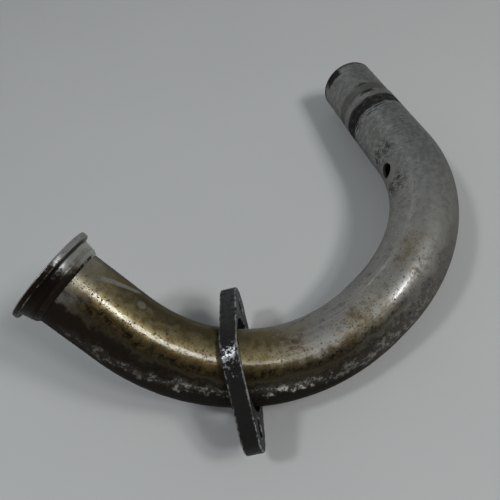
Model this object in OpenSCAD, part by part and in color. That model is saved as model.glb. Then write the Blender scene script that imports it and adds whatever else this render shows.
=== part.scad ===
// Motorcycle exhaust header: a bent steel tube with a collar welded on its port end, a plain
// reduced end for the silencer, and a loose two-bolt flange that is threaded on the tube.
// It lies on a table: +Z is up, the table is Z = 0, and the longest way runs along X.

/* [Tube] */
// Outside diameter of the tube
tube_od = 38; // [30:0.5:46]
// Wall of the tube
tube_wall = 1.5; // [1:0.1:2.5]
// Straight run from the collar's face to the first bend
inlet_run = 43; // [20:1:120]
// Radius of the first bend, on the tube's centre line
first_radius = 98; // [70:1:150]
// How far the first bend turns
first_turn = 80; // [60:1:110]
// Straight run between the two bends
middle_run = 6; // [2:1:80]
// Turn of the second bend's plane about the tube, from the first bend's plane
plane_twist = -48; // [-90:3:90]
// Radius of the second bend, on the tube's centre line
second_radius = 98; // [70:1:150]
// How far the second bend turns
second_turn = 68; // [30:1:110]
// Straight run from the second bend to the outlet's rim
outlet_run = 88; // [60:1:200]

/* [Outlet end] */
// How much smaller the end is that the silencer slides over, on the outside diameter
spigot_drop = 0.8; // [0.2:0.1:2]
// Length of the reduced end, with its shoulder
spigot_length = 37; // [20:1:55]
// Length of the shoulder between the tube and the reduced end
shoulder = 1.2; // [0.5:0.1:4]
// Break on the outlet rim's outer edge
rim_break = 0.4; // [0.1:0.05:0.6]

/* [Side hole] */
// Diameter of the hole drilled through the wall on the second bend
hole_d = 9.5; // [3:0.5:14]
// How far before the second bend's end it is drilled, as an angle
hole_back = 10; // [4:1:24]
// Where it is drilled round the tube, from the inside of the bend
hole_round = 29; // [-180:1:180]

/* [Port collar] */
// How far the sealing lip, which the flange pulls on, stands out beyond the sleeve
lip_rise = 2.5; // [2.5:0.1:5]
// Thickness of the sealing lip
lip_t = 3; // [2:0.1:6]
// Break on the lip's two outer edges
lip_break = 0.5; // [0.1:0.1:0.9]
// Wall of the sleeve where it leaves the lip
sleeve_wall = 2.45; // [2:0.05:4]
// Length of the sleeve behind the lip
sleeve_length = 5; // [3:0.5:14]
// How much the sleeve's diameter drops from the lip to the weld
sleeve_taper = 1.4; // [0:0.1:2]
// Where the turned line runs round the sleeve, as a part of the sleeve's length
line_at = 0.8; // [0.3:0.05:0.85]
// Width of the turned line round the sleeve
line_w = 0.5; // [0.2:0.1:1]
// Depth of the turned line round the sleeve
line_deep = 0.35; // [0.1:0.05:0.5]
// Length of the inner ledge that the tube's end stands on
ledge = 1.5; // [0.5:0.1:2]
// Clearance on radius between the collar and the tube
collar_gap = 0.05; // [0.02:0.01:0.2]

/* [Weld bead] */
// Width of the bead along the tube
weld_w = 3.5; // [2:0.1:6]
// Height of the bead above the tube
weld_h = 2; // [1:0.1:3]
// Number of ripples in the bead
weld_ripples = 26; // [12:1:40]
// How much the ripples differ in size
weld_uneven = 0.14; // [0:0.01:0.25]

/* [Clamp flange] */
// Thickness of the flange
flange_t = 8.8; // [5:0.1:14]
// Clearance on radius between the flange's bore and the sleeve: the bore stops on the lip
bore_clearance = 1.75; // [1:0.05:2]
// Metal left beside the bore, across the flange
side_wall = 4.75; // [4:0.25:12]
// Radius of the two corners beside the bore
corner_r = 14; // [6:0.5:24]
// Diameter of the bolt holes
bolt_hole_d = 9; // [6:0.5:12]
// Metal left between the bore and each bolt hole
bolt_web = 3.25; // [3:0.25:10]
// Metal left round each bolt hole
ear_wall = 6.5; // [4:0.5:9]
// Break on the edges of the bore and of the bolt holes
flange_break = 0.5; // [0.1:0.1:1]

/* [Where the flange hangs] */
// Where it hangs on the tube, as an angle along the first bend
hang_along = 36; // [12:1:48]
// How far its centre lies off the tube's, towards the bend's centre
hang_off = 0.9; // [0:0.1:1.5]
// Gap that the tilted bore leaves to the tube on either side
hang_gap = 0.45; // [0.4:0.05:2]
// Which way it tilts, round the tube from the inside of the bend
hang_way = 49; // [30:1:60]
// How far it is turned in its own plane
hang_spin = -79; // [-90:1:90]

/* [How the header lies] */
// Turn about X, from the collar's axis standing upright
lie_x = 127.5; // [-180:0.1:180]
// Turn about Y, after the turn about X
lie_y = -14.9; // [-180:0.1:180]
// Turn about Z, after the other two
lie_z = -2; // [-180:0.1:180]

/* [Hidden] */
$fn = 120;

steel = "#9b968c";
dark_steel = "#5a5650";
bead_steel = "#4a443d";
flange_black = "#26282a";

tube_r = tube_od / 2;
bore_r = tube_r - tube_wall;
spigot_r = tube_r - spigot_drop / 2;
sleeve_r = tube_r + collar_gap + sleeve_wall;
lip_r = sleeve_r + lip_rise;
sleeve_end_r = sleeve_r - sleeve_taper / 2;
collar_length = lip_t + sleeve_length;
flange_bore_r = sleeve_r + bore_clearance;
bolt_hole_r = bolt_hole_d / 2;
bolt_x = flange_bore_r + bolt_web + bolt_hole_r;
ear_r = bolt_hole_r + ear_wall;
corner_y = flange_bore_r + side_wall - corner_r;
// The bore's edges stand as far out as its corner, turned in by the tilt.
bore_corner = norm([flange_bore_r, flange_t / 2]);
hang_tilt = acos((tube_r + hang_gap) / bore_corner) - atan2(flange_t / 2, flange_bore_r);
cut = 1;
// Each bend's wall stands this much proud on both faces, and the straight runs reach this far
// into it, so every run ends inside the wall of the bend that it meets.
proud = 0.05;
lap = 0.5;
// The flange's straight edges end this far inside its arcs, so that line and arc cross cleanly.
sink = 0.02;

// The frame at the collar's face has Z along the tube and X towards the first bend's centre.
function turn_x(a) = [[1, 0, 0], [0, cos(a), -sin(a)], [0, sin(a), cos(a)]];
function turn_y(a) = [[cos(a), 0, sin(a)], [0, 1, 0], [-sin(a), 0, cos(a)]];
function turn_z(a) = [[cos(a), -sin(a), 0], [sin(a), cos(a), 0], [0, 0, 1]];

// A place on the tube is [point, frame]: the frame's columns are its own X, Y and Z.
function go(place, run) = [place[0] + place[1] * [0, 0, run], place[1]];
function twist(place, a) = [place[0], place[1] * turn_z(a)];
function bend(place, r, a) = [
    place[0] + place[1] * ([r, 0, 0] - turn_y(a) * [r, 0, 0]),
    place[1] * turn_y(a)
];

laid = turn_z(lie_z) * turn_y(lie_y) * turn_x(lie_x);
port = [[0, 0, 0], laid];
first_start = go(port, inlet_run);
first_end = bend(first_start, first_radius, first_turn);
second_start = twist(go(first_end, middle_run), plane_twist);
second_end = bend(second_start, second_radius, second_turn);
outlet = go(second_end, outlet_run);

hang_place = bend(first_start, first_radius, hang_along);
flange_frame = hang_place[1] * turn_z(hang_way) * turn_y(hang_tilt) * turn_z(hang_spin);
flange_centre = hang_place[0] + hang_place[1] * [hang_off, 0, 0];

// The outermost rings, each as [centre, axis, radius]: their reach gives the header's box.
bend_step = 1;
function axis_of(place) = place[1] * [0, 0, 1];
function ring(place, r) = [place[0], axis_of(place), r];
function on_flange(x, y, z, r) = [flange_centre + flange_frame * [x, y, z], flange_frame * [0, 0, 1], r];
rings = concat(
    [for (z = [0, lip_t]) ring(go(port, z), lip_r)],
    [for (a = [0 : bend_step : first_turn]) ring(bend(first_start, first_radius, a), tube_r + proud)],
    [for (a = [0 : bend_step : second_turn]) ring(bend(second_start, second_radius, a), tube_r + proud)],
    [ring(go(outlet, -spigot_length), tube_r), ring(outlet, spigot_r - rim_break)],
    [ring(go(outlet, -rim_break), spigot_r)],
    [for (side = [-1, 1], z = [-flange_t / 2, flange_t / 2]) on_flange(side * bolt_x, 0, z, ear_r)],
    [for (side = [-1, 1], z = [-flange_t / 2, flange_t / 2]) on_flange(0, side * corner_y, z, corner_r)]
);
function reach(one, k) = one[2] * sqrt(max(0, 1 - one[1][k] * one[1][k]));
function low(k) = min([for (one = rings) one[0][k] - reach(one, k)]);
function high(k) = max([for (one = rings) one[0][k] + reach(one, k)]);

// The origin goes under the middle of the box, on the table.
origin = [(low(0) + high(0)) / 2, (low(1) + high(1)) / 2, low(2)];

// Lays the whole header down from the upright frame at the collar's face.
module lay() {
    translate(-origin)
        rotate([lie_x, lie_y, lie_z])
            children();
}

// Moves what follows to the far end of a bend.
module past_bend(r, a) {
    translate([r, 0, 0])
        rotate([0, a, 0])
            translate([-r, 0, 0])
                children();
}

module at_first_bend() {
    translate([0, 0, inlet_run]) children();
}

module at_second_bend() {
    at_first_bend()
        past_bend(first_radius, first_turn)
            translate([0, 0, middle_run])
                rotate([0, 0, plane_twist])
                    children();
}

module at_outlet_run() {
    at_second_bend() past_bend(second_radius, second_turn) children();
}

// A stretch of plain tube along Z, which starts at one height and ends at another.
module straight_run(start, end) {
    translate([0, 0, start])
        difference() {
            cylinder(r = tube_r, h = end - start);
            translate([0, 0, -cut]) cylinder(r = bore_r, h = end - start + 2 * cut);
        }
}

// A bend of plain tube, which starts at the origin along Z and turns towards X.
module bent_run(r, a) {
    translate([r, 0, 0])
        rotate([90, 0, 180])
            rotate_extrude(angle = a)
                translate([r, 0])
                    difference() {
                        circle(tube_r + proud);
                        circle(bore_r - proud);
                    }
}

// The end of the tube, turned about Z: its shoulder, its reduced end and the rim's broken edge.
module reduced_run() {
    inner_r = spigot_r - tube_wall;
    rotate_extrude()
        polygon([
            [bore_r, 0],
            [tube_r, 0],
            [spigot_r, shoulder],
            [spigot_r, spigot_length - rim_break],
            [spigot_r - rim_break, spigot_length],
            [inner_r, spigot_length],
            [inner_r, shoulder]
        ]);
}

module side_hole() {
    at_second_bend()
        past_bend(second_radius, second_turn - hole_back)
            rotate([0, 0, hole_round])
                rotate([0, 90, 0])
                    cylinder(d = hole_d, h = tube_r + cut);
}

module header_tube() {
    color(steel)
        lay() {
            straight_run(ledge, inlet_run + lap);
            at_first_bend() bent_run(first_radius, first_turn);
            at_first_bend() past_bend(first_radius, first_turn) straight_run(-lap, middle_run + lap);
            difference() {
                at_second_bend() bent_run(second_radius, second_turn);
                side_hole();
            }
            at_outlet_run() straight_run(-lap, outlet_run - spigot_length);
            at_outlet_run() translate([0, 0, outlet_run - spigot_length]) reduced_run();
        }
}

// The collar's section: inner ledge, lip with broken edges, and a tapered sleeve with a turned line.
module collar_section() {
    seat_r = tube_r + collar_gap;
    line_z = lip_t + sleeve_length * line_at;
    line_r = sleeve_r - sleeve_taper / 2 * line_at;
    polygon([
        [bore_r, 0],
        [lip_r - lip_break, 0],
        [lip_r, lip_break],
        [lip_r, lip_t - lip_break],
        [lip_r - lip_break, lip_t],
        [sleeve_r, lip_t],
        [line_r, line_z],
        [line_r - line_deep, line_z],
        [line_r - line_deep, line_z + line_w],
        [line_r, line_z + line_w],
        [sleeve_end_r, collar_length],
        [seat_r, collar_length],
        [seat_r, ledge],
        [bore_r, ledge]
    ]);
}

module port_collar() {
    color(dark_steel) lay() rotate_extrude() collar_section();
}

// A bead of overlapping ripples that fills the corner between the sleeve's end and the tube.
module collar_weld() {
    bead_r = weld_w / 2;
    color(bead_steel)
        lay()
            translate([0, 0, collar_length])
                difference() {
                    union() {
                        rotate_extrude()
                            polygon([
                                [tube_r, 0],
                                [tube_r + weld_h * 0.7, 0],
                                [tube_r + weld_h * 0.5, weld_w * 0.6],
                                [tube_r, weld_w * 0.9]
                            ]);
                        for (i = [0 : weld_ripples - 1])
                            rotate([0, 0, i * 360 / weld_ripples])
                                translate([tube_r + weld_h - bead_r, 0, bead_r * 0.8])
                                    sphere(r = bead_r * (1 + weld_uneven * sin(i * 137)), $fn = 24);
                    }
                    translate([0, 0, -weld_w]) cylinder(r = tube_r + collar_gap, h = 3 * weld_w);
                    translate([0, 0, -weld_w]) cylinder(r = lip_r, h = weld_w);
                }
}

// Where a straight edge ends in an ear and in a corner, in the flange's first quarter.
function edge_normal() =
    let (run = norm([bolt_x, corner_y]))
    atan2(corner_y, -bolt_x) - acos((ear_r - corner_r) / run);
edge_way = [cos(edge_normal()), sin(edge_normal())];
ear_end = (ear_r - sink) * edge_way + [bolt_x, 0];
corner_end = (corner_r - sink) * edge_way + [0, corner_y];

// The diamond outline with round ears and corners.
module flange_outline() {
    polygon([
        ear_end,
        corner_end,
        [-corner_end[0], corner_end[1]],
        [-ear_end[0], ear_end[1]],
        -ear_end,
        -corner_end,
        [corner_end[0], -corner_end[1]],
        [ear_end[0], -ear_end[1]]
    ]);
    for (side = [-1, 1]) {
        translate([side * bolt_x, 0]) circle(ear_r);
        translate([0, side * corner_y]) circle(corner_r);
    }
}

// A hole through the flange with both of its edges broken.
module broken_hole(r) {
    translate([0, 0, -flange_t / 2 - cut]) cylinder(r = r, h = flange_t + 2 * cut);
    for (side = [0, 1])
        mirror([0, 0, side])
            translate([0, 0, flange_t / 2 - flange_break])
                cylinder(r1 = r, r2 = r + flange_break + cut, h = flange_break + cut);
}

module clamp_flange() {
    color(flange_black)
        lay()
            at_first_bend()
                past_bend(first_radius, hang_along)
                    translate([hang_off, 0, 0])
                        rotate([0, 0, hang_way])
                            rotate([0, hang_tilt, 0])
                                rotate([0, 0, hang_spin])
                                    difference() {
                                        translate([0, 0, -flange_t / 2])
                                            linear_extrude(flange_t) flange_outline();
                                        broken_hole(flange_bore_r);
                                        for (side = [-1, 1])
                                            translate([side * bolt_x, 0, 0])
                                                broken_hole(bolt_hole_r);
                                    }
}

header_tube();
port_collar();
collar_weld();
clamp_flange();
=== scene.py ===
import math

import bpy
import numpy as np
from mathutils import Matrix, Vector, noise


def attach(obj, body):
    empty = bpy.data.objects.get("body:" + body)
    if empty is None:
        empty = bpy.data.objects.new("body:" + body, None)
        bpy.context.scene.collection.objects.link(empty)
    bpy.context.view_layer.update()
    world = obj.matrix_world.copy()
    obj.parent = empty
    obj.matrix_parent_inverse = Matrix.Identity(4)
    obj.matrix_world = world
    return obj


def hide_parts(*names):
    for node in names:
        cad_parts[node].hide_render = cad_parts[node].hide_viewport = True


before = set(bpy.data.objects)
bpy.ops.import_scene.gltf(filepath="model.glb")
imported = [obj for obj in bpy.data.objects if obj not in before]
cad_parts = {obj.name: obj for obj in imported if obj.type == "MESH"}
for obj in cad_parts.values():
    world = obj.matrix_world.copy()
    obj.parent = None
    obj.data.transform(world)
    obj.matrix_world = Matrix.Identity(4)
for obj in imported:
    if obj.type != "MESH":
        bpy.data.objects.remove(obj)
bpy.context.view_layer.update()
mm = 0.001

# The tube's run, in millimetres and degrees, from the centre of the collar's face.
run = {
    "portCentre": (-120.974, 60.609, 82.069),
    "lay": (127.5, -14.9, -2.0),
    "inletRun": 43.0,
    "firstRadius": 98.0,
    "firstTurn": 80.0,
    "middleRun": 6.0,
    "planeTwist": -48.0,
    "secondRadius": 98.0,
    "secondTurn": 68.0,
    "outletRun": 88.0,
}


def turn(axis, degrees):
    return np.array(Matrix.Rotation(math.radians(degrees), 3, axis))


def ahead(place, length):
    return place[0] + place[1] @ (0, 0, length), place[1]


def bent(place, radius, degrees):
    step = turn("Y", degrees)
    out = np.array((radius, 0, 0))
    return place[0] + place[1] @ (out - step @ out), place[1] @ step


portPlace = (
    np.array(run["portCentre"]),
    turn("Z", run["lay"][2]) @ turn("Y", run["lay"][1]) @ turn("X", run["lay"][0]),
)
firstStart = ahead(portPlace, run["inletRun"])
firstEnd = bent(firstStart, run["firstRadius"], run["firstTurn"])
middleEnd = ahead(firstEnd, run["middleRun"])
secondStart = (middleEnd[0], middleEnd[1] @ turn("Z", run["planeTwist"]))
secondEnd = bent(secondStart, run["secondRadius"], run["secondTurn"])
firstArc = run["firstRadius"] * math.radians(run["firstTurn"])
secondArc = run["secondRadius"] * math.radians(run["secondTurn"])
lengths = np.cumsum([run["inletRun"], firstArc, run["middleRun"], secondArc, run["outletRun"]])


# The point at the distance s along the tube, with a frame that doesn't twist from bend to bend.
def placeAt(s):
    if s <= lengths[0]:
        return ahead(portPlace, s)
    if s <= lengths[1]:
        return bent(firstStart, run["firstRadius"], math.degrees((s - lengths[0]) / run["firstRadius"]))
    if s <= lengths[2]:
        return ahead(firstEnd, s - lengths[1])
    if s <= lengths[3]:
        turned = math.degrees((s - lengths[2]) / run["secondRadius"])
        point, axes = bent(secondStart, run["secondRadius"], turned)
    else:
        point, axes = ahead(secondEnd, s - lengths[3])
    return point, axes @ turn("Z", -run["planeTwist"])


def toLinear(hexColour):
    parts = [int(hexColour[i : i + 2], 16) / 255 for i in (1, 3, 5)]
    return tuple(p / 12.92 if p <= 0.04045 else ((p + 0.055) / 1.055) ** 2.4 for p in parts) + (1.0,)


# One colour list of a piece, ready for its material.
def linearColours(piece):
    return {name: toLinear(value) for name, value in piece["colours"].items()}


# The one function that adds a node, with its settings and links. Values go to its live inputs in order,
# named ones by name, and a node that is given as a value stands for its first live output.
def add(tree, kind, *values, named=None, **settings):
    made = tree.nodes.new("ShaderNode" + kind)
    for key, value in settings.items():
        setattr(made, key, value)
    live = [socket for socket in made.inputs if socket.enabled]
    pairs = list(zip(live, values)) + [(made.inputs[key], value) for key, value in (named or {}).items()]
    for socket, value in pairs:
        if isinstance(value, bpy.types.Node):
            value = next(output for output in value.outputs if output.enabled)
        if isinstance(value, bpy.types.NodeSocket):
            tree.links.new(value, socket)
        else:
            socket.default_value = value
    return made


def product(tree, *values):
    result = values[0]
    for value in values[1:]:
        result = add(tree, "Math", result, value, operation="MULTIPLY")
    return result


def most(tree, *values):
    result = values[0]
    for value in values[1:]:
        result = add(tree, "Math", result, value, operation="MAXIMUM")
    return result


# A band from low to high with soft ends. A map range with smooth steps rises from 0 at its first place
# to 1 at its second, and falls where the first is the higher one.
def band(tree, value, low, high, soft):
    up = add(tree, "MapRange", value, low - soft, low + soft, interpolation_type="SMOOTHSTEP")
    return product(
        tree, up, add(tree, "MapRange", value, high + soft, high - soft, interpolation_type="SMOOTHSTEP")
    )


# Specks of uneven outline, one in each cell of that size, of which about that share shows.
def speckle(tree, vector, cell, low, high, share):
    wobble = add(tree, "TexNoise", vector, 1.6 / cell, 2.0).outputs["Color"]
    vector = add(tree, "VectorMath", wobble, (cell * 0.9,) * 3, vector, operation="MULTIPLY_ADD")
    spots = add(tree, "TexVoronoi", vector, 1 / cell)
    pick = add(tree, "SeparateColor", spots.outputs["Color"]).outputs[0]
    shown = add(tree, "Math", pick, share, operation="LESS_THAN")
    return product(
        tree,
        add(tree, "MapRange", spots.outputs["Distance"], high, low, interpolation_type="SMOOTHSTEP"),
        shown,
    )


# A value that runs through the given stops, each a place and the value there.
def follow(tree, value, stops):
    low, high = stops[0][0], stops[-1][0]
    node = add(tree, "ValToRGB", add(tree, "MapRange", value, low, high))
    points = node.color_ramp.elements
    for number, (place, amount) in enumerate(stops):
        at = (place - low) / (high - low)
        point = points[number] if number < 2 else points.new(at)
        point.position, point.color = at, (amount, amount, amount, 1)
    return node


def newMaterial(name):
    material = bpy.data.materials.new(name)
    material.use_nodes = True
    tree = material.node_tree
    tree.nodes.clear()
    return material, tree


def finishMaterial(tree, height, distance, **inputs):
    bump = add(tree, "Bump", named={"Height": height, "Distance": distance * mm, "Strength": 1.0})
    values = {name.replace("_", " "): value for name, value in inputs.items()}
    values["Normal"] = bump
    if "Coat Weight" in values:
        values["Coat Normal"] = bump
    add(tree, "OutputMaterial", add(tree, "BsdfPrincipled", named=values))


def millimetres(tree):
    return add(tree, "VectorMath", add(tree, "TexCoord").outputs["Object"], 1000.0, operation="SCALE")


# The two lengths that the mesh carries in its map: millimetres along, and degrees round.
def surfaceMap(tree):
    where = add(tree, "SeparateXYZ", add(tree, "UVMap", uv_map="surfaceMap"))
    return [product(tree, where.outputs[number], 1000.0) for number in (0, 1)]


# Mesh tools: a grid of points becomes quads that carry the map of lengths and degrees.
def gridMesh(name, points, alongValues, roundValues, slots, closeAlong=False):
    rows, columns = points.shape[:2]
    last = rows if closeAlong else rows - 1
    i, j = np.meshgrid(np.arange(last), np.arange(columns), indexing="ij")
    nextRow, nextColumn = (i + 1) % rows, (j + 1) % columns
    near, far = i * columns, nextRow * columns
    corners = np.stack([near + j, near + nextColumn, far + nextColumn, far + j], -1)
    mesh = bpy.data.meshes.new(name)
    mesh.from_pydata((points.reshape(-1, 3) * mm).tolist(), [], corners.reshape(-1, 4).tolist())
    alongEnds = np.append(alongValues, alongValues[0])
    u = np.stack([alongEnds[i], alongEnds[i], alongEnds[i + 1], alongEnds[i + 1]], -1)
    v = np.stack([roundValues[j], roundValues[j + 1], roundValues[j + 1], roundValues[j]], -1)
    layer = mesh.uv_layers.new(name="surfaceMap")
    layer.data.foreach_set("uv", (np.stack([u, v], -1) * mm).astype(np.float32).ravel())
    mesh.polygons.foreach_set("material_index", np.asarray(slots)[i].ravel().astype(np.int32))
    mesh.update()
    return mesh


def makeObject(name, mesh, materials):
    made = bpy.data.objects.new(name, mesh)
    bpy.context.scene.collection.objects.link(made)
    mesh.materials.clear()
    for material in materials:
        mesh.materials.append(material)
    return made


def smoothShade(mesh, angle=35):
    mesh.polygons.foreach_set("use_smooth", [True] * len(mesh.polygons))
    mesh.set_sharp_from_angle(angle=math.radians(angle))


def applied(made):
    graph = bpy.context.evaluated_depsgraph_get()
    final = made.evaluated_get(graph)
    mesh = bpy.data.meshes.new_from_object(final, preserve_all_data_layers=True, depsgraph=graph)
    made.modifiers.clear()
    made.data = mesh
    return mesh


def frameMatrix(place):
    whole = Matrix(place[1].tolist()).to_4x4()
    whole.translation = Vector(place[0]) * mm
    return whole


# Chromed tube: satin steel grey, straw and brown where the heat tinted it, pitted, scuffed and sooty, with
# painted shade low on the outer side and a painted dark reflection below the highlight.
# The marks give a place along the tube in millimetres, or round it in degrees, and the amount there.
tubeValues = {
    "outer": 19.0,
    "inner": 17.5,
    "endOuter": 18.6,
    "endInner": 17.1,
    "endLength": 37.0,
    "shoulder": 1.2,
    "rimBreak": 0.4,
    "ledge": 1.5,
    "holeDiameter": 9.5,
    "holeAlong": 285.04,
    "holeRound": -19.0,
    "holeDepth": 8.0,
    "dentAlong": 264.0,
    "dentRound": -17.0,
    "dentReach": 9.0,
    "dentDepth": 0.35,
    "seamRound": -110.0,
    "stepOut": 1.5,
    "stepIn": 3.0,
    "columns": 144,
    "sootBand": (335.5, 346.0),
    "oliveBand": (352.0, 360.5),
    "rimPatch": (383.0, 393.0),
    "pitCells": (1.8, 3.4, 1.2),
    "colours": {
        "silver": "#b4b2ad",
        "worn": "#9a9996",
        "straw": "#938350",
        "blotch": "#67482b",
        "bronze": "#4b4022",
        # darker brown for the inner side of the first bend, and for the band below the highlight, which is
        # partly a painted dark reflection
        "inner": "#574d3a",
        "rust": "#452817",
        "stain": "#4c3520",
        # painted shade with some brown grime, for the low outer side
        "grimeAndShade": "#211a13",
        "pit": "#120d09",
        "chalk": "#c9c5ba",
        "dried": "#bdbaae",
        "soot": "#11100e",
        "olive": "#68654f",
        "grey": "#858787",
        "ring": "#605f5a",
        "grazing": "#a8a8a8",
    },
    "marks": {
        "straw": [(0, 0), (26, 0.95), (112, 0.9), (150, 0.0)],
        "blotch": [(14, 0.0), (30, 0.7), (150, 0.6), (240, 0.0)],
        "deep": [(16, 0), (36, 0.85), (84, 0.8), (128, 0.0)],
        # the band below the highlight, partly a painted dark reflection
        "bronze": [(10, 0), (25, 0.9), (150, 0.85), (205, 0.0)],
        "rust": [(8, 0.0), (18, 1.0), (62, 0.8), (110, 0.35), (185, 0.35), (212, 0.9), (224, 0.0)],
        # where the low outer side carries painted shade and grime
        "low": [(2, 1.0), (150, 1.0), (190, 0.85), (225, 0.65), (258, 0.25), (285, 0.0)],
        "dull": [
            (0, 0.4), (20, 0.2), (56, 0.22), (70, 0.42), (110, 0.72), (150, 0.92),
            (176, 0.9), (188, 0.3), (202, 0.35), (216, 0.72), (390, 0.75),
        ],
        "rings": [(282, 0.0), (300, 0.3), (334, 0.55), (348, 0.35), (390, 0.2)],
        "scuffMiddle": [(15, 146), (50, 130), (85, 117), (122, 113), (165, 121), (230, 118)],
        "scuffWidth": [(15, 6), (50, 9), (85, 6), (122, 7), (165, 14), (230, 18)],
        "scuffLot": [
            (15, 0.08), (40, 0.3), (60, 0.3), (78, 0.65), (95, 0.6), (104, 0.1),
            (117, 1.0), (133, 0.9), (140, 0.3), (180, 0.45), (228, 0.1),
        ],
        "runLine": [(18, 50), (39, 18)],
        "pitsAlong": [(8, 0.2), (24, 0.5), (150, 0.55), (215, 0.5), (250, 0.22), (330, 0.1), (390, 0.12)],
        "pitsRound": [(-40, 0.12), (5, 0.25), (30, 0.5), (56, 1.0), (80, 1.0), (92, 0.4), (112, 0.3)],
    },
}


def tubeMaterial():
    material, tree = newMaterial("heatTintedChrome")
    c = linearColours(tubeValues)
    marks = tubeValues["marks"]
    pos = millimetres(tree)
    along, around = surfaceMap(tree)
    arc = product(tree, around, tubeValues["outer"] * math.pi / 180)
    wide = add(tree, "TexNoise", pos, 1 / 16.0, 4.0, 0.6)
    fine = add(tree, "TexNoise", pos, 1 / 3.0, 5.0, 0.65)
    grain = add(tree, "TexNoise", pos, 1 / 0.8, 4.0, 0.7)
    rag = add(tree, "Math", add(tree, "TexNoise", pos, 1 / 6.0, 5.0, 0.65), 0.5, operation="SUBTRACT")
    s = add(tree, "Math", rag, 16.0, along, operation="MULTIPLY_ADD")
    a = add(tree, "Math", rag, -46.0, around, operation="MULTIPLY_ADD")
    # streaks 22 mm long and 1.2 mm wide along the tube, and marks 9 mm long and 0.9 mm wide round it
    lineward = add(
        tree,
        "CombineXYZ",
        add(tree, "Math", along, 22.0, operation="DIVIDE"),
        add(tree, "Math", arc, 1.2, operation="DIVIDE"),
        0.0,
    )
    streak = add(tree, "TexNoise", lineward, 1.0, 4.0, 0.6)
    ringward = add(
        tree,
        "CombineXYZ",
        add(tree, "Math", along, 0.9, operation="DIVIDE"),
        add(tree, "Math", arc, 9.0, operation="DIVIDE"),
        0.0,
    )
    hoop = add(tree, "TexNoise", ringward, 1.0, 4.0, 0.6)

    # straw tint from the collar into the first bend, which thins out in the second
    straw = product(tree, follow(tree, s, marks["straw"]), band(tree, a, 12, 92, 14))
    strawFar = product(tree, band(tree, s, 130, 232, 22), band(tree, a, 40, 100, 20))
    strawFar = product(
        tree, strawFar, add(tree, "MapRange", wide, 0.3, 0.75, interpolation_type="SMOOTHSTEP"), 0.7
    )
    polish = add(
        tree, "Mix", add(tree, "MapRange", along, 180, 240, interpolation_type="SMOOTHSTEP"), streak, fine
    )
    colour = add(
        tree,
        "Mix",
        add(tree, "MapRange", polish, 0.35, 0.75, interpolation_type="SMOOTHSTEP"),
        c["silver"],
        c["worn"],
        data_type="RGBA",
    )
    cloud = add(tree, "MapRange", fine, 0.25, 0.6, interpolation_type="SMOOTHSTEP")
    tint = product(tree, most(tree, straw, strawFar), add(tree, "Mix", cloud, 0.7, 1.0))
    colour = add(tree, "Mix", tint, colour, c["straw"], data_type="RGBA")
    # red-brown blotches in the tint
    blotch = product(tree, follow(tree, s, marks["blotch"]), band(tree, a, 36, 104, 14))
    blotch = product(
        tree,
        blotch,
        add(tree, "MapRange", add(tree, "Mix", 0.5, wide, fine), 0.5, 0.62, interpolation_type="SMOOTHSTEP"),
    )
    colour = add(tree, "Mix", blotch, colour, c["blotch"], data_type="RGBA")
    # darker brown on the inner side of the first bend, and dark olive-brown beside it nearer the collar
    deep = product(tree, follow(tree, s, marks["deep"]), band(tree, a, 14, 46, 13))
    colour = add(tree, "Mix", deep, colour, c["bronze"], data_type="RGBA")
    inner = product(
        tree,
        add(tree, "MapRange", a, 26, 6, interpolation_type="SMOOTHSTEP"),
        add(tree, "MapRange", along, 104, 66, interpolation_type="SMOOTHSTEP"),
        0.55,
    )
    colour = add(tree, "Mix", inner, colour, c["inner"], data_type="RGBA")
    # browner below the highlight, where the dark band is partly brown tint and partly a painted dark
    # reflection of the dim room, with rust showing through near the collar
    bronze = product(tree, follow(tree, s, marks["bronze"]), band(tree, a, 78, 118, 5))
    colour = add(tree, "Mix", bronze, colour, c["bronze"], data_type="RGBA")
    patchy = follow(tree, along, marks["rust"])
    crumbly = add(
        tree, "MapRange", add(tree, "Mix", grain, fine, 0.5), 0.44, 0.58, interpolation_type="SMOOTHSTEP"
    )
    rust = product(tree, patchy, band(tree, a, 74, 94, 8), crumbly)
    colour = add(tree, "Mix", product(tree, rust, 0.6), colour, c["rust"], data_type="RGBA")
    # dark low on the outer side: some brown grime, and painted shade for the tube's dark reflection of its
    # own shadow and the dim room
    low = product(
        tree,
        follow(tree, s, marks["low"]),
        add(tree, "MapRange", a, 90, 108, interpolation_type="SMOOTHSTEP"),
    )
    colour = add(tree, "Mix", low, colour, c["grimeAndShade"], data_type="RGBA")
    dull = follow(tree, s, marks["dull"])
    rough = add(tree, "Math", dull, 0.27, 0.32, operation="MULTIPLY_ADD")
    rough = add(
        tree,
        "Math",
        add(tree, "Math", streak, 0.5, operation="SUBTRACT"),
        0.1,
        rough,
        operation="MULTIPLY_ADD",
    )
    rough = add(
        tree,
        "Mix",
        product(
            tree,
            band(tree, a, 84, 106, 5),
            add(tree, "MapRange", s, 206, 186, interpolation_type="SMOOTHSTEP"),
        ),
        rough,
        0.25,
    )
    rough = add(tree, "Mix", low, rough, 0.5)

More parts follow.
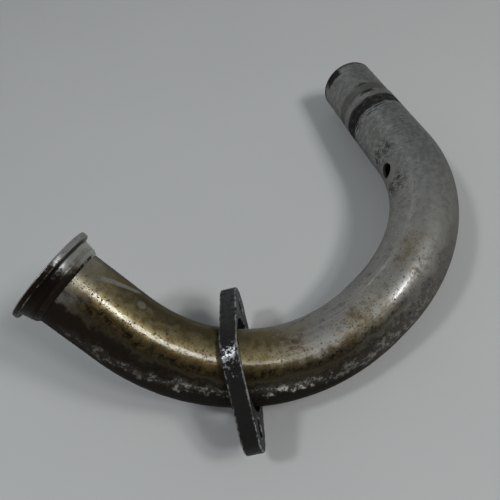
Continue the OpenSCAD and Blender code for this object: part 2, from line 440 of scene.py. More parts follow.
    # soot and old sealant where the silencer was clamped, with flecks on either side
    near = add(tree, "Math", rag, 4.0, along, operation="MULTIPLY_ADD")
    edge = add(
        tree, "Math", add(tree, "Math", hoop, 0.5, operation="SUBTRACT"), 5.0, near, operation="MULTIPLY_ADD"
    )
    sootBand = band(tree, edge, *tubeValues["sootBand"], 1.2)
    sootBand = product(
        tree,
        sootBand,
        add(tree, "Mix", add(tree, "MapRange", around, 96, 118, interpolation_type="SMOOTHSTEP"), 1.0, 0.35),
    )
    sootBand = product(
        tree,
        sootBand,
        add(tree, "Mix", add(tree, "MapRange", fine, 0.36, 0.5, interpolation_type="SMOOTHSTEP"), 0.92, 1.0),
    )
    ragged = product(
        tree,
        band(tree, near, 330.5, 338, 1.5),
        add(tree, "MapRange", hoop, 0.5, 0.58, interpolation_type="SMOOTHSTEP"),
    )
    ragged = product(tree, ragged, add(tree, "MapRange", around, 90, 50, interpolation_type="SMOOTHSTEP"))
    oliveBand = band(tree, near, *tubeValues["oliveBand"], 1.2)
    oliveBand = product(tree, oliveBand, add(tree, "Mix", cloud, 0.55, 0.9))
    rimPatch = product(tree, band(tree, near, *tubeValues["rimPatch"], 0.8), band(tree, a, -17, 27, 6))
    rimDirt = product(tree, add(tree, "MapRange", edge, 386, 388, interpolation_type="SMOOTHSTEP"), 0.85)
    flecks = product(
        tree,
        most(tree, band(tree, along, 350, 353.5, 0.9), band(tree, along, 360.0, 363.0, 0.9)),
        add(tree, "MapRange", hoop, 0.4, 0.5, interpolation_type="SMOOTHSTEP"),
        band(tree, a, 30, 62, 5),
    )
    dashes = product(
        tree,
        band(tree, along, 288, 318, 3),
        band(tree, around, 40, 72, 6),
        add(tree, "MapRange", hoop, 0.56, 0.62, interpolation_type="SMOOTHSTEP"),
        add(tree, "MapRange", fine, 0.44, 0.54, interpolation_type="SMOOTHSTEP"),
    )
    smudge = product(
        tree,
        most(tree, band(tree, near, 294, 306, 5), band(tree, near, 258, 274, 5)),
        band(tree, a, -36, 16, 8),
        add(
            tree, "MapRange", add(tree, "Mix", 0.5, grain, fine), 0.47, 0.54, interpolation_type="SMOOTHSTEP"
        ),
        0.88,
    )
    soot = most(tree, sootBand, ragged, rimPatch, rimDirt, flecks, dashes, smudge)
    colour = add(tree, "Mix", oliveBand, colour, c["olive"], data_type="RGBA")
    grey = product(
        tree,
        add(tree, "MapRange", s, 225, 290, interpolation_type="SMOOTHSTEP"),
        add(tree, "Mix", add(tree, "MapRange", fine, 0.3, 0.62, interpolation_type="SMOOTHSTEP"), 0.1, 0.7),
    )
    colour = add(tree, "Mix", grey, colour, c["grey"], data_type="RGBA")
    rings = product(
        tree,
        follow(tree, along, marks["rings"]),
        add(tree, "MapRange", hoop, 0.48, 0.68, interpolation_type="SMOOTHSTEP"),
    )
    colour = add(tree, "Mix", rings, colour, c["ring"], data_type="RGBA")

    # chalky scuffs along the lower outer side
    middle = follow(tree, along, marks["scuffMiddle"])
    thick = follow(tree, along, marks["scuffWidth"])
    off = add(
        tree,
        "Math",
        add(tree, "Math", add(tree, "Math", a, middle, operation="SUBTRACT"), operation="ABSOLUTE"),
        thick,
        operation="DIVIDE",
    )
    lot = follow(tree, along, marks["scuffLot"])
    chalky = add(tree, "Math", product(tree, fine, 0.7), product(tree, grain, 0.3), operation="ADD")
    picked = add(tree, "MapRange", chalky, 0.48, 0.58, interpolation_type="SMOOTHSTEP")
    scuff = product(tree, add(tree, "MapRange", off, 1.3, 0.5, interpolation_type="SMOOTHSTEP"), lot, picked)
    haze = product(tree, add(tree, "MapRange", off, 1.8, 0.3, interpolation_type="SMOOTHSTEP"), lot, 0.1)
    colour = add(
        tree, "Mix", most(tree, product(tree, scuff, 0.85), haze), colour, c["chalk"], data_type="RGBA"
    )

    # a dried run of water from the collar, and a dried drop beside it
    runLine = add(
        tree,
        "Math",
        add(tree, "Math", around, follow(tree, along, marks["runLine"]), operation="SUBTRACT"),
        operation="ABSOLUTE",
    )
    dried = product(
        tree,
        add(tree, "MapRange", runLine, 6, 2.5, interpolation_type="SMOOTHSTEP"),
        band(tree, along, 20, 38, 2),
        0.75,
    )
    dropRound = product(tree, add(tree, "Math", around, 41.0, operation="SUBTRACT"), 0.33)
    dropOff = add(tree, "CombineXYZ", add(tree, "Math", along, 42.0, operation="SUBTRACT"), dropRound, 0.0)
    dropAway = add(tree, "VectorMath", dropOff, operation="LENGTH")
    patchyDrop = add(
        tree, "Mix", add(tree, "MapRange", grain, 0.35, 0.6, interpolation_type="SMOOTHSTEP"), 0.5, 1.0
    )
    dried = most(
        tree,
        dried,
        product(
            tree, add(tree, "MapRange", dropAway, 3.0, 1.4, interpolation_type="SMOOTHSTEP"), patchyDrop, 0.6
        ),
    )
    colour = add(tree, "Mix", dried, colour, c["dried"], data_type="RGBA")

    # rust pits, thick on the tinted side and thin towards the outlet
    share = product(tree, follow(tree, along, marks["pitsAlong"]), follow(tree, around, marks["pitsRound"]))
    share = product(
        tree,
        share,
        add(tree, "Mix", add(tree, "MapRange", wide, 0.32, 0.6, interpolation_type="SMOOTHSTEP"), 0.5, 1.9),
    )
    middling, large, small = tubeValues["pitCells"]
    pits = most(
        tree,
        speckle(tree, pos, middling, 0.16, 0.34, share),
        speckle(tree, pos, large, 0.1, 0.2, share),
        product(tree, speckle(tree, pos, small, 0.16, 0.4, share), 0.8),
    )
    stain = speckle(tree, pos, 4.4, 0.1, 0.62, share)
    stain = product(
        tree,
        stain,
        add(tree, "MapRange", s, 246, 212, interpolation_type="SMOOTHSTEP"),
        add(tree, "MapRange", a, 98, 80, interpolation_type="SMOOTHSTEP"),
        0.35,
    )
    colour = add(tree, "Mix", stain, colour, c["stain"], data_type="RGBA")
    colour = add(tree, "Mix", product(tree, pits, 0.74), colour, c["pit"], data_type="RGBA")
    colour = add(tree, "Mix", product(tree, soot, 0.96), colour, c["soot"], data_type="RGBA")
    dirt = most(tree, product(tree, soot, 0.9), product(tree, pits, 0.9), product(tree, scuff, 0.8))
    dirt = most(tree, dirt, product(tree, rust, 0.5), product(tree, low, 0.55))
    rough = add(tree, "Mix", dirt, rough, 0.8)
    metal = add(tree, "Math", 1.0, dirt, operation="SUBTRACT")
    height = add(tree, "Math", product(tree, grain, 0.2), product(tree, pits, 0.25), operation="SUBTRACT")
    height = add(tree, "Math", height, product(tree, most(tree, scuff, rust, soot), fine), operation="ADD")
    height = add(tree, "Math", height, product(tree, hoop, 0.12), operation="ADD")
    shine = product(
        tree,
        add(tree, "Math", 1.0, dull, operation="SUBTRACT"),
        add(tree, "Math", 1.0, dirt, operation="SUBTRACT"),
    )
    shine = product(
        tree,
        shine,
        add(tree, "MapRange", a, 112, 92, interpolation_type="SMOOTHSTEP"),
        add(tree, "MapRange", a, 5, 50, interpolation_type="SMOOTHSTEP"),
    )
    finishMaterial(
        tree,
        height,
        0.04,
        Base_Color=colour,
        Metallic=metal,
        Roughness=rough,
        Coat_Weight=shine,
        Coat_Roughness=0.11,
        Specular_IOR_Level=add(tree, "Mix", dirt, 0.5, 0.2),
        Specular_Tint=c["grazing"],
    )
    return material


# Sooty bore: soot burnt onto bare steel, a dull dark brown with no gloss.
boreValues = {"colours": {"soot": "#26221c", "ash": "#544d43"}}


def boreMaterial():
    material, tree = newMaterial("sootyBore")
    pos = millimetres(tree)
    coarse = add(tree, "TexNoise", pos, 1 / 5.0, 5.0, 0.65)
    c = linearColours(boreValues)
    colour = add(tree, "Mix", coarse, c["soot"], c["ash"], data_type="RGBA")
    rough = add(tree, "Mix", coarse, 0.7, 0.95)
    finishMaterial(tree, coarse, 0.3, Base_Color=colour, Metallic=0.0, Roughness=rough)
    return material


def buildTube():
    t = tubeValues
    total = lengths[4]
    endStart = total - t["endLength"]
    outside = [(s, t["outer"]) for s in np.arange(t["ledge"] + 0.2, endStart, t["stepOut"])]
    outside += [(endStart, t["outer"])]
    outside += [(s, t["endOuter"]) for s in np.arange(endStart + t["shoulder"], total - 1, t["stepOut"])]
    outside += [(total - t["rimBreak"], t["endOuter"]), (total - 0.12, t["endOuter"] - 0.1)]
    rim = [(total, t["endOuter"] - t["rimBreak"]), (total, t["endInner"] + 0.2), (total - 0.2, t["endInner"])]
    inside = [(s, t["endInner"]) for s in np.arange(total - 3, endStart + t["shoulder"], -t["stepIn"])]
    inside += [(s, t["inner"]) for s in np.arange(endStart, t["ledge"] + 1, -t["stepIn"])]
    inside += [(t["ledge"], t["inner"]), (t["ledge"], t["outer"] - 0.2)]
    profile = outside + rim + inside
    slots = [0] * (len(outside) + 1) + [1] * (len(rim) + len(inside) - 1)
    angles = t["seamRound"] + np.arange(t["columns"] + 1) * 360 / t["columns"]
    ring = np.radians(angles[:-1])
    points = np.zeros((len(profile), t["columns"], 3))
    for row, (s, radius) in enumerate(profile):
        point, axes = placeAt(s)
        normals = np.outer(np.cos(ring), axes[:, 0]) + np.outer(np.sin(ring), axes[:, 1])
        onLine = point + normals * radius
        if row < len(outside):
            # the wall isn't quite true: slow waves all over and a shallow dent inside the second bend
            wave = [noise.noise(Vector(p) / 17) * 0.07 + noise.noise(Vector(p) / 6) * 0.025 for p in onLine]
            acrossDent = (angles[:-1] - t["dentRound"]) / t["dentReach"]
            away = ((s - t["dentAlong"]) / t["dentReach"]) ** 2 + acrossDent**2
            onLine = onLine + normals * (np.array(wave) - t["dentDepth"] * np.exp(-away))[:, None]
        points[row] = onLine
    mesh = gridMesh("headerTube", points, np.array([p[0] for p in profile]), angles, slots, closeAlong=True)
    made = makeObject("headerTube", mesh, [tubeMaterial(), boreMaterial()])
    point, axes = placeAt(t["holeAlong"])
    holeRound = math.radians(t["holeRound"])
    outward = Matrix(axes.tolist()) @ Vector((math.cos(holeRound), math.sin(holeRound), 0))
    drillSize = {"radius": t["holeDiameter"] / 2 * mm, "depth": t["holeDepth"] * mm}
    bpy.ops.mesh.primitive_cylinder_add(vertices=64, **drillSize)
    drill = bpy.context.object
    drill.data.materials.append(made.data.materials[1])
    onWall = (Vector(point) + outward * t["outer"]) * mm
    facing = outward.to_track_quat("Z", "X").to_matrix().to_4x4()
    drill.matrix_world = Matrix.Translation(onWall) @ facing
    cutter = made.modifiers.new("sideHole", "BOOLEAN")
    cutter.operation, cutter.object, cutter.solver = "DIFFERENCE", drill, "EXACT"
    mesh = applied(made)
    bpy.data.objects.remove(drill)
    smoothShade(mesh)
    return made


headerTube = buildTube()
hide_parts("header_tube")
print("tube", len(headerTube.data.polygons))


# Port collar: turned steel gone dark with heat, its front rim worn bright, with painted highlights on the lip
# and sleeve and a painted shadow under the lip.
# The profile gives radius, height and slot (0 outside, 1 sooty inside), in millimetres.
collarValues = {
    "colours": {"dark": "#1b1a18", "grey": "#c2c0ba", "bright": "#bdbcba", "rust": "#2f2318"},
    "seamRound": -110,
    "columns": 160,
    "profile": [
        (17.5, 0.0, 0), (19.5, 0.0, 0), (21.5, 0.0, 0), (23.3, 0.0, 0), (23.75, 0.12, 0), (24.0, 0.45, 0),
        (24.0, 1.1, 0), (24.0, 1.9, 0), (24.0, 2.5, 0), (23.8, 2.85, 0), (23.4, 3.0, 0), (22.4, 3.02, 0),
        (21.7, 3.05, 0), (21.5, 3.3, 0), (21.38, 4.4, 0), (21.25, 5.2, 0), (21.05, 6.7, 0), (20.94, 6.98, 0),
        (20.6, 7.04, 0), (20.6, 7.46, 0), (20.88, 7.52, 0), (20.8, 8.0, 0), (20.0, 8.02, 0), (19.06, 8.02, 0),
        (19.06, 5.0, 1), (19.06, 1.52, 1), (17.9, 1.5, 1), (17.5, 1.48, 1), (17.5, 0.7, 1),
    ],
}


def collarMaterial():
    material, tree = newMaterial("oxidisedCollarSteel")
    c = linearColours(collarValues)
    pos = millimetres(tree)
    along, around = surfaceMap(tree)
    height = add(tree, "SeparateXYZ", pos).outputs[2]
    # lathe marks 0.35 mm apart, coarser than real ones so that they show
    turned = add(
        tree,
        "CombineXYZ",
        add(tree, "Math", along, 0.35, operation="DIVIDE"),
        add(tree, "Math", around, 40.0, operation="DIVIDE"),
        0.0,
    )
    lathe = add(tree, "TexNoise", turned, 1.0, 3.0, 0.6)
    mottle = add(tree, "TexNoise", pos, 1 / 2.6, 5.0, 0.65)
    broad = add(tree, "TexNoise", pos, 1 / 8.0, 3.0, 0.55)
    # grey on the upper side, most of all on the sleeve, and black on the low outer side
    a = add(
        tree,
        "Math",
        add(tree, "Math", mottle, 0.5, operation="SUBTRACT"),
        60.0,
        around,
        operation="MULTIPLY_ADD",
    )
    sleeve = add(tree, "MapRange", height, 2.9, 3.3, interpolation_type="SMOOTHSTEP")
    upper = product(tree, band(tree, a, -60, 66, 20), add(tree, "Mix", sleeve, 0.6, 1.0))
    strokes = product(
        tree,
        add(tree, "MapRange", height, 5.6, 6.6, interpolation_type="SMOOTHSTEP"),
        add(tree, "MapRange", mottle, 0.42, 0.5, interpolation_type="SMOOTHSTEP"),
    )
    strokes = product(tree, strokes, band(tree, a, 25, 90, 8))
    colour = add(tree, "Mix", mottle, c["dark"], c["rust"], data_type="RGBA")
    upper = product(
        tree,
        upper,
        add(tree, "Mix", add(tree, "MapRange", broad, 0.35, 0.6, interpolation_type="SMOOTHSTEP"), 0.8, 1.0),
    )
    colour = add(tree, "Mix", upper, colour, c["grey"], data_type="RGBA")
    # painted shadow: a dark band round the sleeve just under the lip, which black takes together with the
    # dark strokes
    lipShadow = band(tree, add(tree, "Math", mottle, 0.8, height, operation="MULTIPLY_ADD"), 3.3, 4.5, 0.15)
    black = most(tree, product(tree, strokes, 0.2), lipShadow)
    colour = add(tree, "Mix", product(tree, black, 0.88), colour, c["dark"], data_type="RGBA")
    # lighter along the lip's rims: wear on the front rim, and a painted highlight along the back rim
    edge = most(
        tree,
        product(
            tree,
            band(tree, height, -0.1, 0.45, 0.15),
            add(tree, "MapRange", mottle, 0.3, 0.5, interpolation_type="SMOOTHSTEP"),
        ),
        product(
            tree,
            band(tree, height, 2.45, 2.95, 0.15),
            add(tree, "MapRange", mottle, 0.46, 0.58, interpolation_type="SMOOTHSTEP"),
            0.5,
        ),
    )
    # painted highlights in a bright colour with less roughness: one on the upper side of the lip and a glint
    # on the sleeve
    shine = product(tree, band(tree, height, -0.2, 2.9, 0.2), band(tree, a, 30, 68, 12), 0.85)
    glint = product(tree, band(tree, height, 4.0, 6.4, 0.3), band(tree, a, 52, 72, 6), 0.8)
    # bare carries the worn rim and the painted highlights alike
    bare = most(tree, product(tree, edge, 0.8), shine, glint)
    colour = add(tree, "Mix", bare, colour, c["bright"], data_type="RGBA")
    rough = add(tree, "Mix", bare, add(tree, "Mix", mottle, 0.38, 0.6), 0.27)
    bump = add(tree, "Math", product(tree, lathe, 0.5), mottle, operation="ADD")
    finishMaterial(tree, bump, 0.05, Base_Color=colour, Metallic=0.9, Roughness=rough)
    return material


def buildCollar():
    profile, columns = collarValues["profile"], collarValues["columns"]
    angles = collarValues["seamRound"] + np.arange(columns + 1) * 360 / columns
    ring = np.radians(angles[:-1])
    points = np.zeros((len(profile), columns, 3))
    lengthsAlong = [0.0]
    for row, (radius, height, slot) in enumerate(profile):
        if row:
            before = profile[row - 1]
            lengthsAlong.append(lengthsAlong[-1] + math.hypot(radius - before[0], height - before[1]))
        for column, angle in enumerate(ring):
            at = Vector((radius * math.cos(angle), radius * math.sin(angle), height))
            # nicks and wear on what stands out, nothing where it seats on the tube
            worn = noise.noise(at / 2.2) * 0.09 + noise.noise(at / 0.9) * 0.03 if radius > 19.5 else 0.0
            points[row, column] = (at.x * (1 + worn / radius), at.y * (1 + worn / radius), at.z + worn * 0.5)
    slots = [p[2] for p in profile]
    mesh = gridMesh("portCollar", points, np.array(lengthsAlong), angles, slots, closeAlong=True)
    made = makeObject("portCollar", mesh, [collarMaterial(), headerTube.data.materials[1]])
    made.matrix_world = frameMatrix(portPlace)
    smoothShade(mesh, 40)
    return made


portCollar = buildCollar()
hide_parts("port_collar")


# Weld bead: lumpy steel, burnt black-brown, lighter grey in patches on its upper side.
weldValues = {
    "colours": {"black": "#131210", "brown": "#3a2f24", "upperPatches": "#bab8b1"},
    "seamRound": -110,
    "columns": 416,
    "ripples": 26,
    "section": [
        (18.9, 7.7), (20.2, 7.75), (20.55, 8.1), (20.6, 8.7), (20.45, 9.4),
        (20.15, 10.1), (19.75, 10.7), (19.3, 11.15), (18.9, 11.4),
    ],
}


def weldMaterial():
    material, tree = newMaterial("burntWeld")
    pos = millimetres(tree)
    mottle = add(tree, "TexNoise", pos, 1 / 2.6, 5.0, 0.65)
    around = surfaceMap(tree)[1]
    a = add(
        tree,
        "Math",
        add(tree, "Math", mottle, 0.5, operation="SUBTRACT"),
        60.0,
        around,
        operation="MULTIPLY_ADD",
    )
    c = linearColours(weldValues)
    colour = add(tree, "Mix", mottle, c["black"], c["brown"], data_type="RGBA")
    height = add(tree, "SeparateXYZ", pos).outputs[2]
    strokes = product(
        tree,
        add(tree, "MapRange", height, 9.9, 10.6, interpolation_type="SMOOTHSTEP"),
        add(tree, "MapRange", mottle, 0.4, 0.48, interpolation_type="SMOOTHSTEP"),
    )
    strokes = product(tree, strokes, band(tree, a, 25, 76, 8))
    # lighter grey in patches on the upper side, less rough, kept off the dark strokes
    upperPatches = product(
        tree,
        band(tree, a, -60, 56, 20),
        add(tree, "MapRange", mottle, 0.28, 0.46, interpolation_type="SMOOTHSTEP"),
        0.95,
    )
    upperPatches = product(tree, upperPatches, add(tree, "Math", 1.0, strokes, operation="SUBTRACT"))
    colour = add(tree, "Mix", upperPatches, colour, c["upperPatches"], data_type="RGBA")
    rough = add(tree, "Mix", upperPatches, 0.6, 0.4)
    finishMaterial(tree, mottle, 0.15, Base_Color=colour, Metallic=0.85, Roughness=rough)
    return material


def buildWeld():
    section, ripples, columns = weldValues["section"], weldValues["ripples"], weldValues["columns"]
    angles = weldValues["seamRound"] + np.arange(columns + 1) * 360 / columns
    points = np.zeros((len(section), columns, 3))
    for column, angle in enumerate(np.radians(angles[:-1])):
        uneven = noise.noise(Vector((math.cos(angle) * 4, math.sin(angle) * 4, 0.7)))
        phase = (angle * ripples / (2 * math.pi) + uneven * 0.8) % 1
        lift = 0.22 * math.sin(math.pi * phase) ** 0.6 - 0.14 + 0.18 * uneven
        for row, (radius, height) in enumerate(section):
            at = Vector((radius * math.cos(angle), radius * math.sin(angle), height))
            lump = noise.noise(at / 0.8) * 0.12
            share = math.sin(math.pi * row / (len(section) - 1))
            out = radius + (lift + lump) * share
            top = height + (lift * 0.6 + 0.5 * uneven) * share * (row / (len(section) - 1))
            points[row, column] = (out * math.cos(angle), out * math.sin(angle), top)
    mesh = gridMesh("collarWeld", points, np.arange(len(section)) * 0.6, angles, [0] * len(section))
    made = makeObject("collarWeld", mesh, [weldMaterial()])
    made.matrix_world = frameMatrix(portPlace)
    smoothShade(mesh, 60)
    return made


collarWeld = buildWeld()
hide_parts("collar_weld")
print("collar and weld", len(portCollar.data.polygons), len(collarWeld.data.polygons))


# Clamp flange: thick steel plate in worn black paint, bare on its near corner and along its arrises.
flangeValues = {
    "thickness": 8.8,
    "boltX": 31.0,
    "earRadius": 11.0,
    "cornerY": 14.0,
    "cornerRadius": 14.0,
    "boreRadius": 23.25,
    "holeRadius": 4.5,
    "edgeRound": 0.55,
    "hangAlong": 36.0,
    "hangOff": 0.9,
    "hangWay": 49.0,
    "hangTilt": 24.0,
    "hangSpin": -79.0,
    "cell": 0.5,
    "colours": {"paint": "#0c0d0e", "grey": "#3a3c3e", "bare": "#cfcfd2", "rust": "#191512"},
}


def flangeMaterial():
    material, tree = newMaterial("wornBlackPaint")
    c = linearColours(flangeValues)
    pos = millimetres(tree)
    parts = add(tree, "SeparateXYZ", pos)
    x, y, z = parts.outputs[0], parts.outputs[1], parts.outputs[2]
    arris = add(tree, "Attribute", attribute_name="arrisDistance").outputs["Fac"]
    mottle = add(tree, "TexNoise", pos, 1 / 2.2, 5.0, 0.65)
    grain = add(tree, "TexNoise", pos, 1 / 0.6, 4.0, 0.7)
    broad = add(tree, "TexNoise", pos, 1 / 9.0, 3.0, 0.6)
    colour = add(tree, "Mix", mottle, c["paint"], c["rust"], data_type="RGBA")
    dusty = product(
        tree,
        add(tree, "MapRange", x, 2, 30, interpolation_type="SMOOTHSTEP"),
        add(tree, "MapRange", mottle, 0.35, 0.62, interpolation_type="SMOOTHSTEP"),
    )
    colour = add(
        tree,
        "Mix",
        product(tree, dusty, add(tree, "MapRange", grain, 0.36, 0.58, interpolation_type="SMOOTHSTEP"), 0.95),
        colour,
        c["grey"],
        data_type="RGBA",
    )
    worn = product(
        tree,
        add(tree, "MapRange", arris, 1.1, 0.15, interpolation_type="SMOOTHSTEP"),
        add(tree, "MapRange", mottle, 0.46, 0.56, interpolation_type="SMOOTHSTEP"),
    )
    arrisWear = product(
        tree,
        add(tree, "MapRange", arris, 0.75, 0.2, interpolation_type="SMOOTHSTEP"),
        band(tree, x, -24, 16, 5),
    )
    arrisWear = product(
        tree,
        arrisWear,
        add(tree, "MapRange", z, 0, 3, interpolation_type="SMOOTHSTEP"),
        add(tree, "MapRange", grain, 0.34, 0.5, interpolation_type="SMOOTHSTEP"),
    )
    # the patch that rubbing laid bare, most of all in its middle
    middle = band(tree, x, -7, 1, 2)
    chips = add(tree, "Math", mottle, product(tree, grain, 0.6), operation="ADD")
    chips = add(
        tree,
        "MapRange",
        chips,
        add(tree, "Mix", middle, 0.9, 0.79),
        add(tree, "Mix", middle, 0.95, 0.84),
        interpolation_type="SMOOTHSTEP",
    )
    patch = product(
        tree,
        band(tree, x, -12, 2, 3),
        add(tree, "MapRange", y, 20, 25, interpolation_type="SMOOTHSTEP"),
        chips,
    )
    bare = most(tree, product(tree, worn, 0.55), product(tree, arrisWear, 0.45), patch)
    colour = add(tree, "Mix", bare, colour, c["bare"], data_type="RGBA")
    rough = add(tree, "Mix", bare, add(tree, "Mix", broad, 0.38, 0.6), 0.28)
    height = add(
        tree,
        "Math",
        add(tree, "Math", mottle, product(tree, grain, 0.4), operation="ADD"),
        bare,
        operation="SUBTRACT",
    )
    finishMaterial(
        tree, height, 0.16, Base_Color=colour, Metallic=bare, Roughness=rough, Specular_IOR_Level=0.3
    )
    return material


def circlePoints(cx, cy, radius, start, end, count):
    return [
        (cx + radius * math.cos(a), cy + radius * math.sin(a))
        for a in np.radians(np.linspace(start, end, count))
    ]


def flangeOutline():
    f = flangeValues
    reach = math.hypot(f["boltX"], f["cornerY"])
    slope = math.acos((f["earRadius"] - f["cornerRadius"]) / reach)
    way = math.degrees(math.atan2(f["cornerY"], -f["boltX"]) - slope)
    ring = circlePoints(f["boltX"], 0, f["earRadius"], -way, way, 48)
    ring += circlePoints(0, f["cornerY"], f["cornerRadius"], way, 180 - way, 40)
    ring += circlePoints(-f["boltX"], 0, f["earRadius"], 180 - way, 180 + way, 48)
    ring += circlePoints(0, -f["cornerY"], f["cornerRadius"], 180 + way, 360 - way, 40)
    return ring


def buildFlange():
    f = flangeValues
    curve = bpy.data.curves.new("flangeOutline", "CURVE")
    curve.dimensions, curve.fill_mode = "2D", "BOTH"
    rounds = [
        flangeOutline(),
        circlePoints(0, 0, f["boreRadius"], 0, 357.5, 144),
        circlePoints(f["boltX"], 0, f["holeRadius"], 0, 352.5, 48),
        circlePoints(-f["boltX"], 0, f["holeRadius"], 0, 352.5, 48),
    ]
    for ring in rounds:
        spline = curve.splines.new("POLY")
        spline.points.add(len(ring) - 1)
        for knot, (px, py) in zip(spline.points, ring):
            knot.co = (px * mm, py * mm, 0, 1)
        spline.use_cyclic_u = True
    curve.extrude = (f["thickness"] / 2 - f["edgeRound"]) * mm
    curve.bevel_depth, curve.bevel_resolution = f["edgeRound"] * mm, 3
    curve.offset = -f["edgeRound"] * mm
    plate = bpy.data.objects.new("flangePlate", curve)
    bpy.context.scene.collection.objects.link(plate)
    graph = bpy.context.evaluated_depsgraph_get()
    mesh = bpy.data.meshes.new_from_object(plate.evaluated_get(graph))
    bpy.data.objects.remove(plate)
    made = makeObject("clampFlange", mesh, [flangeMaterial()])
    cells = made.modifiers.new("cells", "REMESH")
    cells.mode, cells.voxel_size = "VOXEL", f["cell"] * mm
    soften = made.modifiers.new("soften", "SMOOTH")
    soften.factor, soften.iterations = 0.5, 3
    mesh = applied(made)
    mesh.materials.clear()
    mesh.materials.append(bpy.data.materials["wornBlackPaint"])

    points = np.zeros(len(mesh.vertices) * 3)
    mesh.vertices.foreach_get("co", points)
    points = points.reshape(-1, 3) / mm
    normals = np.zeros(len(mesh.vertices) * 3)
    mesh.vertices.foreach_get("normal", normals)
    normals = normals.reshape(-1, 3)
    flat = points[:, :2]
    outline = np.array(flangeOutline())
    ends = np.roll(outline, -1, axis=0)
    side = np.full(len(flat), 1e9)
    for start, end in zip(outline, ends):
        edge = end - start
        share = np.clip(((flat - start) @ edge) / (edge @ edge), 0, 1)
        side = np.minimum(side, np.linalg.norm(flat - start - share[:, None] * edge, axis=1))
    side = np.minimum(side, np.abs(np.linalg.norm(flat, axis=1) - f["boreRadius"]))
    for sign in (-1, 1):
        fromBolt = np.linalg.norm(flat - (sign * f["boltX"], 0), axis=1)
        side = np.minimum(side, np.abs(fromBolt - f["holeRadius"]))
    faceward = np.abs(f["thickness"] / 2 - np.abs(points[:, 2]))
    arris = np.maximum(side, faceward)
    # cast skin all over, and nicks that eat into the arrises
    spots = [Vector(p) for p in points]
    rough = np.array([noise.noise(p / 3.2) * 0.1 + noise.noise(p / 1.1) * 0.05 for p in spots])
    nick = np.array([max(0.0, noise.noise(p / 2.4 + Vector((7, 3, 1))) - 0.15) for p in spots])
    inBore = np.linalg.norm(flat, axis=1) < f["boreRadius"] + 1.2
    rough = np.where(inBore, -np.abs(rough), rough)
    moved = points + normals * (rough - 0.9 * nick * np.exp(-((arris / 1.2) ** 2)))[:, None]
    mesh.vertices.foreach_set("co", (moved * mm).ravel())
    layer = mesh.attributes.new("arrisDistance", "FLOAT", "POINT")
    layer.data.foreach_set("value", arris.astype(np.float32))
    mesh.update()
    mesh.polygons.foreach_set("use_smooth", [True] * len(mesh.polygons))

    point, axes = bent(firstStart, run["firstRadius"], f["hangAlong"])
    centre = point + axes @ (f["hangOff"], 0, 0)
    tilted = axes @ turn("Z", f["hangWay"]) @ turn("Y", f["hangTilt"]) @ turn("Z", f["hangSpin"])
    made.matrix_world = frameMatrix((centre, tilted))
    return made


clampFlange = buildFlange()
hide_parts("clamp_flange")
body = "root"
for piece in (headerTube, portCollar, collarWeld, clampFlange):
    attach(piece, body)
print("flange", len(clampFlange.data.polygons))


# Table: plain pale grey, a little uneven in tone, which far off takes the tone of the room's wall.
tableValues = {
    "size": 4.0,
    "fadeFrom": 420.0,
    "fadeTo": 1400.0,
    "colours": {"dark": "#b3b4b4", "light": "#bbbcbb", "none": "#000000", "wall": "#8d8f8e"},
}


def tableMaterial():
    material, tree = newMaterial("paleTable")
    pos = millimetres(tree)
    cloud = add(tree, "TexNoise", pos, 1 / 120.0, 3.0, 0.5)
    dust = add(tree, "TexNoise", pos, 1 / 1.5, 4.0, 0.7)
    c = linearColours(tableValues)
    uneven = add(tree, "Math", dust, 0.2, product(tree, cloud, 0.8), operation="MULTIPLY_ADD")
    colour = add(tree, "Mix", uneven, c["dark"], c["light"], data_type="RGBA")
    away = add(tree, "VectorMath", pos, operation="LENGTH")
    far = add(
        tree,
        "MapRange",
        away,
        tableValues["fadeFrom"],
        tableValues["fadeTo"],
        interpolation_type="SMOOTHSTEP",
    )
    finishMaterial(
        tree,
        dust,
        0.02,
        Base_Color=add(tree, "Mix", far, colour, c["none"], data_type="RGBA"),
        Metallic=0.0,
        Roughness=add(tree, "Mix", far, 0.55, 1.0),
        Specular_IOR_Level=add(tree, "Mix", far, 0.5, 0.0),
        Emission_Color=c["wall"],
        Emission_Strength=far,
    )
    return material


bpy.ops.mesh.primitive_plane_add(size=tableValues["size"])
table = bpy.context.object
table.name = "table"
table.data.materials.append(tableMaterial())
print("table")


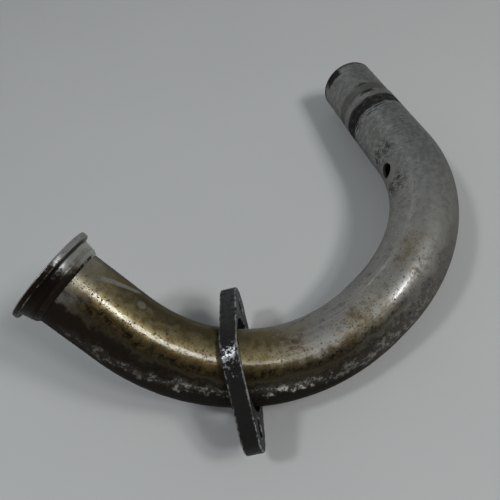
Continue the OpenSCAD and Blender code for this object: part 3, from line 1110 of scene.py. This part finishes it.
# Lamps: the way from the header, the distance, width and length in metres, the watts, the colour
# and whether it shows in gloss. The soft pair does most of the lighting, and the line lamp draws
# the bright line along the tube.
lampValues = {
    "mainLampLeft": ((0.06, -0.656, 0.752), 2.0, 0.23, 0.23, 7.2, (1.0, 0.995, 0.97), False),
    "mainLampRight": ((0.236, -0.621, 0.747), 2.0, 0.23, 0.23, 7.2, (1.0, 0.985, 0.95), False),
    "lineLamp": ((0.193, -0.530, 0.825), 1.22, 0.26, 0.12, 2.0, (0.96, 0.99, 1.0), True),
    "coolLamp": ((-0.424, 0.226, 0.9), 1.4, 0.17, 0.17, 4.5, (0.93, 0.96, 1.0), True),
    "farWindow": ((0.33, 0.74, 0.58), 1.8, 0.3, 0.12, 0.32, (0.9, 0.93, 1.0), True),
}
for name, (direction, distance, width, length, watts, colour, mirrored) in lampValues.items():
    light = bpy.data.lights.new(name, "AREA")
    light.shape, light.size, light.size_y = "RECTANGLE", width, length
    light.energy, light.color = watts, colour
    made = bpy.data.objects.new(name, light)
    away = Vector(direction).normalized()
    made.location = away * distance
    made.rotation_mode = "QUATERNION"
    made.rotation_quaternion = away.to_track_quat("Z", "Y")
    made.visible_glossy = mirrored
    bpy.context.scene.collection.objects.link(made)
print("lamps", len(lampValues))


# Room: dim walls, pale where they meet the table and dark behind the camera.
roomValues = {
    "darkWay": (-0.25, -0.86, 0.45),
    "colours": {"low": "#5d5c58", "top": "#7e8183", "dark": "#1a1918", "wall": "#8d8f8e"},
}
world = bpy.data.worlds.new("dimRoom")
bpy.context.scene.world = world
world.use_nodes = True
sky = world.node_tree
sky.nodes.clear()
c = linearColours(roomValues)
way = add(sky, "TexCoord").outputs["Generated"]
up = add(sky, "SeparateXYZ", way).outputs[2]
facing = add(sky, "VectorMath", way, roomValues["darkWay"], operation="DOT_PRODUCT")
roomTone = add(
    sky,
    "Mix",
    add(sky, "MapRange", up, 0.0, 0.7, interpolation_type="SMOOTHSTEP"),
    c["low"],
    c["top"],
    data_type="RGBA",
)
roomTone = add(
    sky,
    "Mix",
    add(sky, "MapRange", facing, 0.72, 0.94, interpolation_type="SMOOTHSTEP"),
    roomTone,
    c["dark"],
    data_type="RGBA",
)
roomTone = add(
    sky,
    "Mix",
    add(sky, "MapRange", up, 0.36, 0.24, interpolation_type="SMOOTHSTEP"),
    roomTone,
    c["wall"],
    data_type="RGBA",
)
add(sky, "OutputWorld", add(sky, "Background", roomTone, 1.0))
print("room")

# Camera: above the header and to one side, a little tilted, as in the photograph.
cameraValues = {"lens": 37.44, "place": (-146.6, -113.66, 268.55), "turned": (35.737, 7.372, -50.183)}
cameraData = bpy.data.cameras.new("camera")
cameraData.lens, cameraData.sensor_width = cameraValues["lens"], 36.0
camera = bpy.data.objects.new("camera", cameraData)
camera.location = Vector(cameraValues["place"]) * mm
camera.rotation_euler = [math.radians(v) for v in cameraValues["turned"]]
bpy.context.scene.collection.objects.link(camera)
bpy.context.scene.camera = camera
bpy.context.scene.view_settings.view_transform = "Standard"
print("camera")
